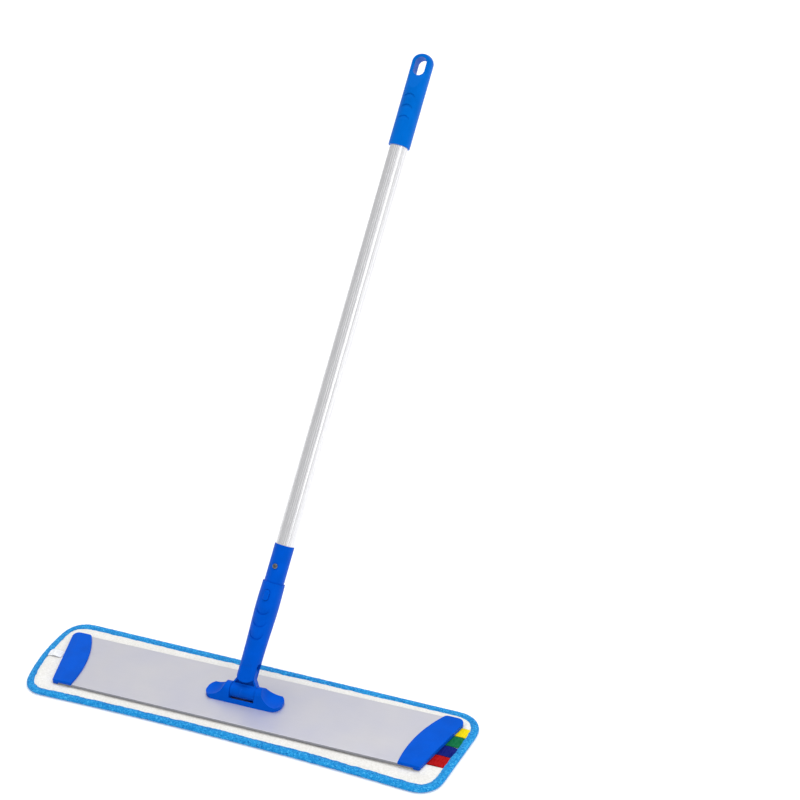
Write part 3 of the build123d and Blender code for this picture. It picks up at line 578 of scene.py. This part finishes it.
def slab(name, grid, face_height, back_height, body, material):
    """A closed sheet: a shaped face over a flat back. The face looks up if it is the higher one."""
    rows, columns = grid.shape[:2]
    points = np.zeros((rows * columns, 3))
    points[:, :2] = grid.reshape(-1, 2)
    points[:, 2] = face_height
    faces = grid_faces(rows, columns)
    rim = rim_of(rows, columns)
    back = points[rim] * (1, 1, 0) + (0, 0, back_height)
    under = len(points) + np.arange(len(rim))
    wall = np.stack((rim, np.roll(rim, -1), np.roll(under, -1), under), 1)
    if back_height < face_height.mean():
        faces = faces[:, ::-1]
        wall = wall[:, ::-1]
        bottom = under[::-1][None]
    else:
        bottom = under[None]
    return build(name, np.vstack((points, back)), [faces, wall, bottom], body, material)


STITCH_SIDES, STITCH_RINGS = 6, 5
# A stitch's ends are blunt by this share of its section, and dip by this share of its radius.
STITCH_BLUNT = 0.06
STITCH_DIP = 0.8


def stitches(name, middles, ways, length, radius, body, material):
    """Thread stitches: short rounded rods, each lying along its own way."""
    side = unit(np.cross(ways, (0, 0, 1)))
    up = np.cross(side, ways)
    points = []
    for at in np.linspace(-1, 1, STITCH_RINGS):
        thick = radius * math.sqrt(max(STITCH_BLUNT, 1 - at ** 4))
        centre = middles + ways * (at * length / 2) - up * (STITCH_DIP * radius * at ** 2)
        for angle in np.arange(STITCH_SIDES) * 2 * math.pi / STITCH_SIDES:
            points.append(centre + side * thick * math.cos(angle) + up * thick * math.sin(angle))
    points = np.stack(points, 1)
    per = STITCH_SIDES * STITCH_RINGS
    start = (np.arange(len(middles)) * per)[:, None]
    wall = grid_faces(STITCH_RINGS, STITCH_SIDES, closed_columns=True)[:, ::-1]
    cap = np.arange(STITCH_SIDES)
    faces = [
        (wall[None] + start[:, :, None]).reshape(-1, 4),
        cap + start,
        (cap + per - STITCH_SIDES)[::-1] + start,
    ]
    return build(name, points.reshape(-1, 3), faces, body, material)


# --- The pad -----------------------------------------------------------------------------------

# Each ribbon tag: which end of the pad it is at, how far it bulges up in millimetres, its colour.
RIBBONS = {
    "ribbon_yellow": (1, 0.25, shade(246, 222, 0)),
    "ribbon_green": (1, 0.35, shade(0, 112, 64)),
    "ribbon_navy": (1, 0.5, shade(0, 20, 118)),
    "ribbon_red": (1, 0.6, shade(178, 0, 2)),
    "ribbon_white": (-1, 1.5, shade(244, 246, 250)),
}
# The frame's ends slant by this much along the head for each unit across it.
FRAME_SLOPE = 0.281
# Ribbon tags reach this far beyond their CAD boxes, under the binding.
TAG_HIDDEN = 6 * MM

# The binding's section: how far in from the pad's edge, and the height, in millimetres. It is a
# soft tape folded round the edge, drawn from the inner edge of the top lip round to the bottom.
# The depths past LIP_START stretch with the width of the lip.
BINDING_SECTION = (
    (10.2, 5.0), (10.4, 5.7), (9.6, 6.3), (7.4, 6.55), (5.0, 6.5), (3.0, 6.15), (1.4, 5.4),
    (0.4, 4.4), (0.0, 3.3), (0.2, 2.0), (1.1, 1.0), (3.0, 0.5), (6.0, 0.4), (8.3, 0.5), (8.9, 1.1),
    (7.6, 1.7), (4.2, 1.9), (2.6, 2.9), (2.6, 4.0), (4.4, 4.9), (7.4, 5.1),
)
SECTION_POINTS = 46
LIP_START = 3 * MM
SECTION_LIP = 10.4 * MM
# The tape keeps this far above the floor.
FLOOR_GAP = 0.05 * MM
# Noises, each as (height, size, seed). The knit's height is in millimetres.
LIP_WAVES = ((0.8 * MM, 9 * MM, 3), (0.5 * MM, 3.5 * MM, 4))
BINDING_SWELL = (0.05, 26 * MM, 5)
BINDING_KNIT = ((0.20, 2.2 * MM, 6), (0.16, 1.3 * MM, 7))
# The sewn groove along the lip: how deep, how wide, and how far it lies from the lip's edge.
GROOVE_DEPTH, GROOVE_WIDTH, GROOVE_INSET = 0.3 * MM, 0.7 * MM, 2 * MM


def make_binding(outline, material):
    """The fuzzy tape round the pad's edge: the section swept along the outline, with its knit."""
    section = rounded(BINDING_SECTION, SECTION_POINTS) * MM
    loop = raised(outline.loop)
    lip_wave = noise_sum(loop, *LIP_WAVES)
    swell = 1 + noise_sum(loop, BINDING_SWELL)
    points = np.zeros((outline.count, SECTION_POINTS, 3))
    middle = (BINDING_LOW + BINDING_HIGH) / 2
    for k, (depth, height) in enumerate(section):
        on_lip = np.clip((depth - LIP_START) / (SECTION_LIP - LIP_START), 0, 1) * (height >= middle)
        points[:, k, :2] = outline.inset(depth + on_lip * (lip_wave + outline.lip - SECTION_LIP))
        points[:, k, 2] = middle + (height - middle) * swell
    across = unit(np.roll(section, -1, 0) - np.roll(section, 1, 0))
    out = np.stack((across[:, 1], -across[:, 0]), 1)
    knit = noise_sum(points.reshape(-1, 3), *BINDING_KNIT) * MM
    from_groove = (section[:, 0] - SECTION_LIP + GROOVE_INSET) / GROOVE_WIDTH
    groove = GROOVE_DEPTH * np.exp(-from_groove ** 2) * (section[:, 1] > middle)
    lift = knit.reshape(outline.count, SECTION_POINTS) - groove[None]
    points[:, :, :2] += outline.inward[:, None] * (lift * out[None, :, 0])[:, :, None]
    points[:, :, 2] = np.maximum(points[:, :, 2] + lift * out[None, :, 1], FLOOR_GAP)
    faces = grid_faces(outline.count, SECTION_POINTS, closed_rows=True, closed_columns=True)
    binding = build(
        "pad_binding_tape", points.reshape(-1, 3), [faces], "pad", material
    )
    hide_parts("pad_binding")
    return binding


SEAM_PITCH = 3.6 * MM
SEAM_STITCH_LENGTH = 2.7 * MM
SEAM_STITCH_RADIUS = 0.26 * MM
SEAM_INSET = 2.2 * MM
SEAM_SINK = 0.05 * MM


def make_binding_seam(outline, material):
    """The line of stitches along the binding's groove."""
    count = int(outline.length / SEAM_PITCH)
    seam = resampled(outline.inset(outline.lip - SEAM_INSET), count, closed=True)
    ways = unit(raised(np.roll(seam, -1, 0) - np.roll(seam, 1, 0)))
    return stitches(
        "pad_binding_stitches", raised(seam, BINDING_HIGH - SEAM_SINK), ways,
        SEAM_STITCH_LENGTH, SEAM_STITCH_RADIUS, "pad", material,
    )


def clear_of_frame(points):
    """How far each flat point lies outside the plate, its end caps and the ribbon tags."""
    low_cap, high_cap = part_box("end_cap_left")[0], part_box("end_cap_right")[1]
    low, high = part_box("plate")
    across = np.maximum(low.y - points[:, 1], points[:, 1] - high.y)
    reach = (high_cap.x - low_cap.x) / 2 + (points[:, 1] - high.y) * FRAME_SLOPE
    along = (np.abs(points[:, 0]) - reach) / math.sqrt(1 + FRAME_SLOPE ** 2)
    free = np.maximum(across, along)
    for node in RIBBONS:
        low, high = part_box(node)
        beside = np.maximum(low.y - points[:, 1], points[:, 1] - high.y)
        beyond = np.maximum(low.x - points[:, 0], points[:, 0] - high.x) - TAG_HIDDEN
        free = np.minimum(free, np.maximum(beside, beyond))
    return free


# This many points are measured at a time, which keeps the tables of distances small.
BATCH = 2000


def from_lip(outline, points):
    """How far each flat point lies inside the binding's inner edge; less than 0 under the lip."""
    gap = np.empty(len(points))
    for start in range(0, len(points), BATCH):
        part = points[start:start + BATCH, None, :2] - outline.loop[None]
        distance = np.hypot(part[:, :, 0], part[:, :, 1])
        nearest = distance.argmin(1)
        gap[start:start + BATCH] = distance.min(1) - outline.lip[nearest]
    return gap


FLEECE_STEP = 1.5 * MM
FLEECE_INSET = 6 * MM
FLEECE_BACK = PAD_TOP - 2.2 * MM
# Where it lies level, the fleece keeps this far under its CAD solid's top, and then this much more
# for its fuzz.
FLEECE_SINK, FUZZ_SINK = 0.05 * MM, 0.12 * MM
# The quilting lines, as shares of the pad's width from its near edge, and the dips they make.
QUILT_LINES = (0.18, 0.455, 0.74)
QUILT_DEPTH, QUILT_HALF_WIDTH = 1.0 * MM, 2.4 * MM
# The fleece puffs up over these distances from the frame and from the lip, and drops under the lip.
PUFF_HEIGHT = 1.1 * MM
PUFF_UNEVEN = (0.4 * MM, 11 * MM, 12)
PUFF_FROM_FRAME = (0.3 * MM, 4.3 * MM)
PUFF_FROM_LIP = (0.5 * MM, 5 * MM)
TUCK_DEPTH = 0.5 * MM
TUCK_FROM_LIP = (-1.5 * MM, 0.5 * MM)
# The fuzz in millimetres: a wide one, and a fine one that doubles where the fleece puffs up.
WIDE_FUZZ, FINE_FUZZ = (0.10, 3 * MM, 11), (0.10, 1.7 * MM, 14)


def fleece_height(outline, grid):
    """The fleece lies level under the frame, puffs up round it and dips along the quilting lines
    and under the binding's lip."""
    rows, columns = grid.shape[:2]
    flat = raised(grid.reshape(-1, 2))
    width = np.linalg.norm(grid[-1] - grid[0], axis=1).mean()
    across = np.repeat(np.linspace(0, 1, rows), columns) * width
    height = np.full(rows * columns, PAD_TOP - FLEECE_SINK)
    for line in QUILT_LINES:
        gap = (across - line * width) / QUILT_HALF_WIDTH
        height -= QUILT_DEPTH / (1 + gap ** 2)
    inside = from_lip(outline, flat)
    puff = smooth_step(clear_of_frame(flat), *PUFF_FROM_FRAME) * smooth_step(inside, *PUFF_FROM_LIP)
    height += puff * (PUFF_HEIGHT + noise_sum(flat, PUFF_UNEVEN))
    height -= TUCK_DEPTH * (1 - smooth_step(inside, *TUCK_FROM_LIP))
    fuzz = noise_sum(flat, WIDE_FUZZ) + noise_sum(flat, FINE_FUZZ) * (1 + puff)
    return height + fuzz * MM - FUZZ_SINK


def make_fleece(outline, material):
    """The fleece on the pad's top, and the grid it is made from."""
    grid = outline.patch(FLEECE_INSET, FLEECE_STEP)
    fleece = slab(
        "pad_fleece", grid, fleece_height(outline, grid), FLEECE_BACK, "pad", material
    )
    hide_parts("pad_backing")
    return fleece, grid


QUILT_PITCH = 4.4 * MM
QUILT_SINK = 1.05 * MM
QUILT_STITCH_LENGTH = 3.0 * MM
QUILT_STITCH_RADIUS = 0.3 * MM


def make_quilting(grid, material):
    """Rows of stitches along the head, sunk in the fleece's dips."""
    middles, ways = [], []
    for line in QUILT_LINES:
        low, part = divmod(line * (len(grid) - 1), 1)
        run = grid[int(low)] * (1 - part) + grid[int(low) + 1] * part
        length = np.linalg.norm(np.diff(run, axis=0), axis=1).sum()
        points = resampled(run, int(length / QUILT_PITCH))
        middles.append(raised(points, PAD_TOP - QUILT_SINK))
        ways.append(unit(raised(np.gradient(points, axis=0))))
    stitches(
        "pad_quilting", np.vstack(middles), np.vstack(ways), QUILT_STITCH_LENGTH,
        QUILT_STITCH_RADIUS, "pad", material,
    )


PILE_INSET = 6.5 * MM
# The ground cloth that holds the loops: the height and unevenness of its underside, and its top.
GROUND_LOW, GROUND_HIGH = 2.2 * MM, 3.2 * MM
GROUND_UNEVEN = (0.3 * MM, 6 * MM, 13)
GROUND_STEP = 3 * MM


def make_pile_ground(outline, material):
    """The ground cloth under the pad."""
    grid = outline.patch(PILE_INSET, GROUND_STEP)
    height = GROUND_LOW + noise_sum(raised(grid.reshape(-1, 2)), GROUND_UNEVEN)
    ground = slab("pad_pile_ground", grid, height, GROUND_HIGH, "pad", material)
    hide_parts("pad_pile")
    return ground


LOOP_SEED = 7
LOOP_PITCH = 4.4 * MM
LOOP_INSET = 11 * MM
# A loop's place varies by up to this share of the pitch.
LOOP_JITTER = 0.33
LOOP_RINGS, LOOP_SIDES = 5, 4
# The least and most of each loop's sizes, in millimetres.
LOOP_LENGTHS, LOOP_BENDS = (5.6, 7.4), (-1.5, 1.5)
LOOP_RADII, LOOP_GAPS = (1.05, 1.3), (0.02, 0.45)
# The height of a loop's roots in the ground cloth, how quickly it drops from them, how slim it is
# there, and how far its section turns along it.
LOOP_ROOT = 2.9 * MM
LOOP_DROP = 1.4
LOOP_SLIM = 0.72
LOOP_TWIST = 0.9


def make_pile_loops(outline, material):
    """Twisted loops that hang to the floor, each a small closed tube."""
    rng = np.random.default_rng(LOOP_SEED)
    places = outline.patch(LOOP_INSET, LOOP_PITCH).reshape(-1, 2)
    total = len(places)
    places = places + rng.uniform(-LOOP_JITTER, LOOP_JITTER, (total, 2)) * LOOP_PITCH
    heading = rng.uniform(0, math.pi, total)
    way = np.stack((np.cos(heading), np.sin(heading), np.zeros(total)), 1)
    side = np.stack((-way[:, 1], way[:, 0], np.zeros(total)), 1)
    length, bend, thick, floor_gap = (
        rng.uniform(*limits, total) * MM
        for limits in (LOOP_LENGTHS, LOOP_BENDS, LOOP_RADII, LOOP_GAPS)
    )
    rings = []
    for at in np.linspace(0, 1, LOOP_RINGS):
        arch = math.sin(math.pi * at)
        size = thick * (LOOP_SLIM + (1 - LOOP_SLIM) * arch)
        centre = raised(places) + way * ((at - 0.5) * length)[:, None]
        centre = centre + side * (arch * bend)[:, None]
        low = floor_gap + size
        centre[:, 2] = low + (LOOP_ROOT - low) * (1 - arch) ** LOOP_DROP
        for corner in range(LOOP_SIDES):
            angle = 2 * math.pi * corner / LOOP_SIDES + LOOP_TWIST * at
            ring = centre + side * (size * math.cos(angle))[:, None]
            ring[:, 2] += size * math.sin(angle)
            rings.append(ring)
    points = np.stack(rings, 1)
    points[:, :, 2] = np.maximum(points[:, :, 2], 0)
    per = LOOP_RINGS * LOOP_SIDES
    start = (np.arange(total) * per)[:, None, None]
    wall = grid_faces(LOOP_RINGS, LOOP_SIDES, closed_columns=True)
    cap = np.arange(LOOP_SIDES)[None]
    faces = np.concatenate((wall, cap[:, ::-1], cap + per - LOOP_SIDES))
    faces = (faces[None] + start).reshape(-1, 4)
    return build("pad_pile_loops", points.reshape(-1, 3), [faces], "pad", material)


RIBBON_THICK = 0.32 * MM
# How far outside the lip's inner edge a tag is sewn, and how far along the head the pad's ends are.
TAG_SEWN = 2.5 * MM
END_START = 0.25
TAG_COLUMNS = 15
# The heights of a tag's upper and lower layers, in millimetres, and the rows of points in each.
TAG_TOP, TAG_BOTTOM = 5.9, 5.66
TAG_TOP_ROWS, TAG_BOTTOM_ROWS = 13, 7
# The fold between the layers, as (share of the run, height).
TAG_FOLD = ((1, 5.95), (1.02, 5.85), (1.02, 5.75), (1, 5.66))
# A tag starts to bulge this share of the way from its seam to its fold, and how quickly it does.
BULGE_START, BULGE_RATE, BULGE_POWER = 0.2, 1.3, 1.5
# A slow wave across a tag, and the drop of its side edges over their outermost part.
TAG_WAVE, TAG_WAVE_SIZE = 0.12 * MM, 6 * MM
TAG_DROP, TAG_DROP_WIDTH = 0.12 * MM, 1.5 * MM
# The edges drop up to this share of the run, and not in the fold.
TAG_DROP_END = 0.98


def tag_profile(bulge):
    """A tag from its seam out to the fold and back underneath, as (share of the run, height)."""
    upper = []
    for share in np.linspace(0, 1, TAG_TOP_ROWS)[:-1]:
        arch = math.sin(math.pi * min(1, max(0, share - BULGE_START) * BULGE_RATE))
        upper.append((share, TAG_TOP + bulge * arch ** BULGE_POWER))
    lower = [(share, TAG_BOTTOM) for share in np.linspace(1, 0, TAG_BOTTOM_ROWS)[1:]]
    return upper + list(TAG_FOLD) + lower


def make_ribbon(outline, node, toward, bulge, material):
    """A ribbon tag, doubled over: sewn under the binding and folded beside the end cap.
    toward is 1 for the tags at the +X end and -1 at the other."""
    low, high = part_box(node)
    inner = outline.inset(outline.lip - TAG_SEWN)
    inner = inner[inner[:, 0] * toward > END_START]
    inner = inner[inner[:, 1].argsort()]
    across = np.linspace(low.y, high.y, TAG_COLUMNS)
    sewn = np.interp(across, inner[:, 1], inner[:, 0])
    # The end cap at the +X end slants, and so does the fold beside it.
    fold = low.x - (high.y - across) * FRAME_SLOPE if toward > 0 else np.full(TAG_COLUMNS, high.x)
    from_side = np.minimum(across - low.y, high.y - across) / TAG_DROP_WIDTH
    wave = TAG_WAVE * np.sin(across / TAG_WAVE_SIZE)
    rows = []
    for share, height in tag_profile(bulge):
        z = height * MM + wave * math.sin(math.pi * min(1, share))
        z -= TAG_DROP * np.clip(1 - from_side, 0, 1) * (share < TAG_DROP_END)
        rows.append(np.stack((sewn + (fold - sewn) * share, across, z), 1))
    middle = np.stack(rows)
    normal = unit(np.cross(np.gradient(middle, axis=1), np.gradient(middle, axis=0)))
    layers = [(middle + normal * RIBBON_THICK / 2 * way).reshape(-1, 3) for way in (1, -1)]
    total = len(layers[0])
    face = grid_faces(len(rows), TAG_COLUMNS)
    rim = rim_of(len(rows), TAG_COLUMNS)
    wall = np.stack((rim, rim + total, np.roll(rim, -1) + total, np.roll(rim, -1)), 1)
    faces = [face, face[:, ::-1] + total, wall]
    ribbon = build(node + "_tag", np.concatenate(layers), faces, "pad", material)
    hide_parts(node)


# --- The hook strips ---------------------------------------------------------------------------

HOOK_PITCH = 2.4 * MM
HOOK_HEIGHT = 0.9 * MM
# How far the hooks keep from the tape's long edges and from its ends.
HOOK_EDGE, HOOK_END = 0.8 * MM, 2 * MM
# One hook: a square stem that leans and swells to a blunt head. Each level is its lean, half its
# size and its depth below the backing, in millimetres.
HOOK_LEVELS = ((0.0, 0.62, -0.1), (0.15, 0.42, 0.4), (0.55, 0.62, 0.7), (0.75, 0.40, 0.9))
# A hook leans this much across the tape for each step that it leans along it.
HOOK_SLANT = 0.6
# Points this near a long edge of the tape's CAD solid belong to that edge.
EDGE_MATCH = 0.2 * MM


def hook_places(near, far, near_x, far_x):
    """Staggered rows of flat points over a tape that is wider on one long side."""
    rows = int((far - near - 2 * HOOK_EDGE) / HOOK_PITCH) + 1
    places = []
    for row in range(rows):
        y = near + HOOK_EDGE + HOOK_HEIGHT / 2 + row * HOOK_PITCH
        if y > far - HOOK_HEIGHT:
            continue
        reach = near_x + (far_x - near_x) * (y - near) / (far - near) - HOOK_END
        x = np.arange(-reach, reach, HOOK_PITCH) + (row % 2) * HOOK_PITCH / 2
        places.append(np.stack((x, np.full(len(x), y)), 1))
    return np.vstack(places)


def make_hooks(node, material):
    """Hook tape: a flat backing with slanted hooks in staggered rows, from the strip's box."""
    cad = np.array([vertex.co for vertex in frame["nodes"][node].data.vertices])
    low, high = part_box(node)
    root = low.z + HOOK_HEIGHT
    near_x, far_x = (
        np.abs(cad[np.isclose(cad[:, 1], y, atol=EDGE_MATCH), 0]).max() for y in (low.y, high.y)
    )
    plan = np.array(((-near_x, low.y), (near_x, low.y), (far_x, high.y), (-far_x, high.y)))
    backing = np.vstack((raised(plan, high.z), raised(plan, root)))
    walls = [(k, k + 4, (k + 1) % 4 + 4, (k + 1) % 4) for k in range(4)]
    hook = np.vstack([
        raised(SQUARE * half * MM + np.array((lean, lean * HOOK_SLANT)) * MM, root - depth * MM)
        for lean, half, depth in HOOK_LEVELS
    ])
    places = raised(hook_places(low.y, high.y, near_x, far_x))
    field = (hook[None] + places[:, None]).reshape(-1, 3)
    side = grid_faces(len(HOOK_LEVELS), 4, closed_columns=True)
    tip = np.arange(len(hook) - 4, len(hook))[None]
    base = np.arange(4)[None, ::-1]
    start = len(backing) + (np.arange(len(places)) * len(hook))[:, None, None]
    hooks = (np.concatenate((side, tip, base))[None] + start).reshape(-1, 4)
    strip = build(
        node + "_tape", np.vstack((backing, field)), [[(0, 1, 2, 3), (7, 6, 5, 4)], walls, hooks],
        "frame", material,
    )
    strip.data.polygons.foreach_set("use_smooth", np.zeros(len(strip.data.polygons), bool))
    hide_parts(node)


# --- CAD nodes that stay -----------------------------------------------------------------------

def dress(material, *names):
    """Gives CAD nodes a material."""
    for name in names:
        slots = frame["nodes"][name].material_slots
        if not slots:
            frame["nodes"][name].data.materials.append(material)
        for place in slots:
            place.material = material


# --- Stage, lights, camera ---------------------------------------------------------------------

FLOOR_HALF = 40.0
WORLD_STRENGTH = 0.62
# The lens and its place, turned down and to the left: the photograph's angle and framing.
SENSOR_WIDTH, FOCAL_LENGTH = 36, 62.3
CLIP_START, CLIP_END = 0.05, 50
CAMERA_PLACE = (0.6901, -1.3326, 1.1898 + PLATE_TOP)
CAMERA_DOWN, CAMERA_TURN = math.radians(26.53), math.radians(19.4)


def make_floor(material):
    """One wide flat face, at the height the pad stands on."""
    mesh = bpy.data.meshes.new("floor")
    mesh.from_pydata(raised(SQUARE * FLOOR_HALF).tolist(), [], [(0, 1, 2, 3)])
    mesh.materials.append(material)
    add_to_scene("floor", mesh)


def area_light(name, place, target, size, power):
    """A soft lamp panel that faces its target."""
    lamp = bpy.data.lights.new(name, "AREA")
    lamp.shape = "RECTANGLE"
    lamp.size, lamp.size_y = size
    lamp.energy = power
    holder = add_to_scene(name, lamp)
    holder.location = place
    holder.rotation_euler = (Vector(target) - Vector(place)).to_track_quat("-Z", "Y").to_euler()


def soft_sun(name, way, strength, spread):
    """A wide, far softbox, as a sun lamp. way points from the object towards it."""
    lamp = bpy.data.lights.new(name, "SUN")
    lamp.energy = strength
    lamp.angle = math.radians(spread)
    add_to_scene(name, lamp).rotation_euler = Vector(way).to_track_quat("Z", "Y").to_euler()


def light_studio():
    """An even pale surround, a softbox overhead, a weak one to the right, and a panel that draws
    the bright streak down the tube."""
    world = bpy.data.worlds.new("studio")
    world.use_nodes = True
    background = world.node_tree.nodes["Background"]
    background.inputs["Color"].default_value = (1, 1, 1, 1)
    background.inputs["Strength"].default_value = WORLD_STRENGTH
    bpy.context.scene.world = world
    soft_sun("top_light", way=(0.1, 0.1, 1.0), strength=1.5, spread=70)
    soft_sun("right_light", way=(1.0, -0.35, 0.55), strength=0.14, spread=50)
    area_light(
        "streak_light", place=(1.9, -1.1, 1.5), target=(0, 0.2, 0.35), size=(0.7, 1.6), power=6
    )


def make_camera():
    """At the photograph's angle and framing."""
    lens = bpy.data.cameras.new("camera")
    lens.sensor_width = SENSOR_WIDTH
    lens.lens = FOCAL_LENGTH
    lens.clip_start, lens.clip_end = CLIP_START, CLIP_END
    camera = add_to_scene("camera", lens)
    camera.location = CAMERA_PLACE
    camera.rotation_euler = (math.pi / 2 - CAMERA_DOWN, 0, CAMERA_TURN)
    bpy.context.scene.camera = camera


make_camera()
light_studio()
make_floor(floor_paint())
bpy.context.scene.view_settings.view_transform = "Standard"

pad_outline = Outline()
fleece_material, binding_material, pile_material = fleece_cloth(), binding_cloth(), pile_cloth()
binding_piece = make_binding(pad_outline, binding_material)
binding_seam = make_binding_seam(pad_outline, thread("binding_thread", shade(18, 112, 190)))
fleece_piece, fleece_grid = make_fleece(pad_outline, fleece_material)
make_quilting(fleece_grid, thread("quilting_thread", shade(222, 220, 214)))
pile_ground = make_pile_ground(pad_outline, pile_material)
pile_loops = make_pile_loops(pad_outline, pile_material)

for ribbon_node, (ribbon_end, ribbon_bulge, ribbon_color) in RIBBONS.items():
    cloth = ribbon_cloth(ribbon_node + "_cloth", ribbon_color)
    make_ribbon(pad_outline, ribbon_node, ribbon_end, ribbon_bulge, cloth)

hook_material = hook_plastic()
for strip_node in ("hook_strip_front", "hook_strip_back"):
    make_hooks(strip_node, hook_material)

dress(plate_metal(), "plate")
dress(tube_metal(), "tube")
dress(
    plastic("blue_plastic", shade(0, 84, 202), 0.42),
    "end_cap_left", "end_cap_right", "swivel_base", "swivel_barrel",
    "socket", "adapter_sleeve", "lock_button",
)
dress(plastic("grip_plastic", shade(0, 104, 204), 0.4), "grip")
dress(
    screw_steel(),
    "end_cap_screws", "swivel_base_screws", "swivel_axle", "pivot_pin", "sleeve_screws",
    "button_spring",
)
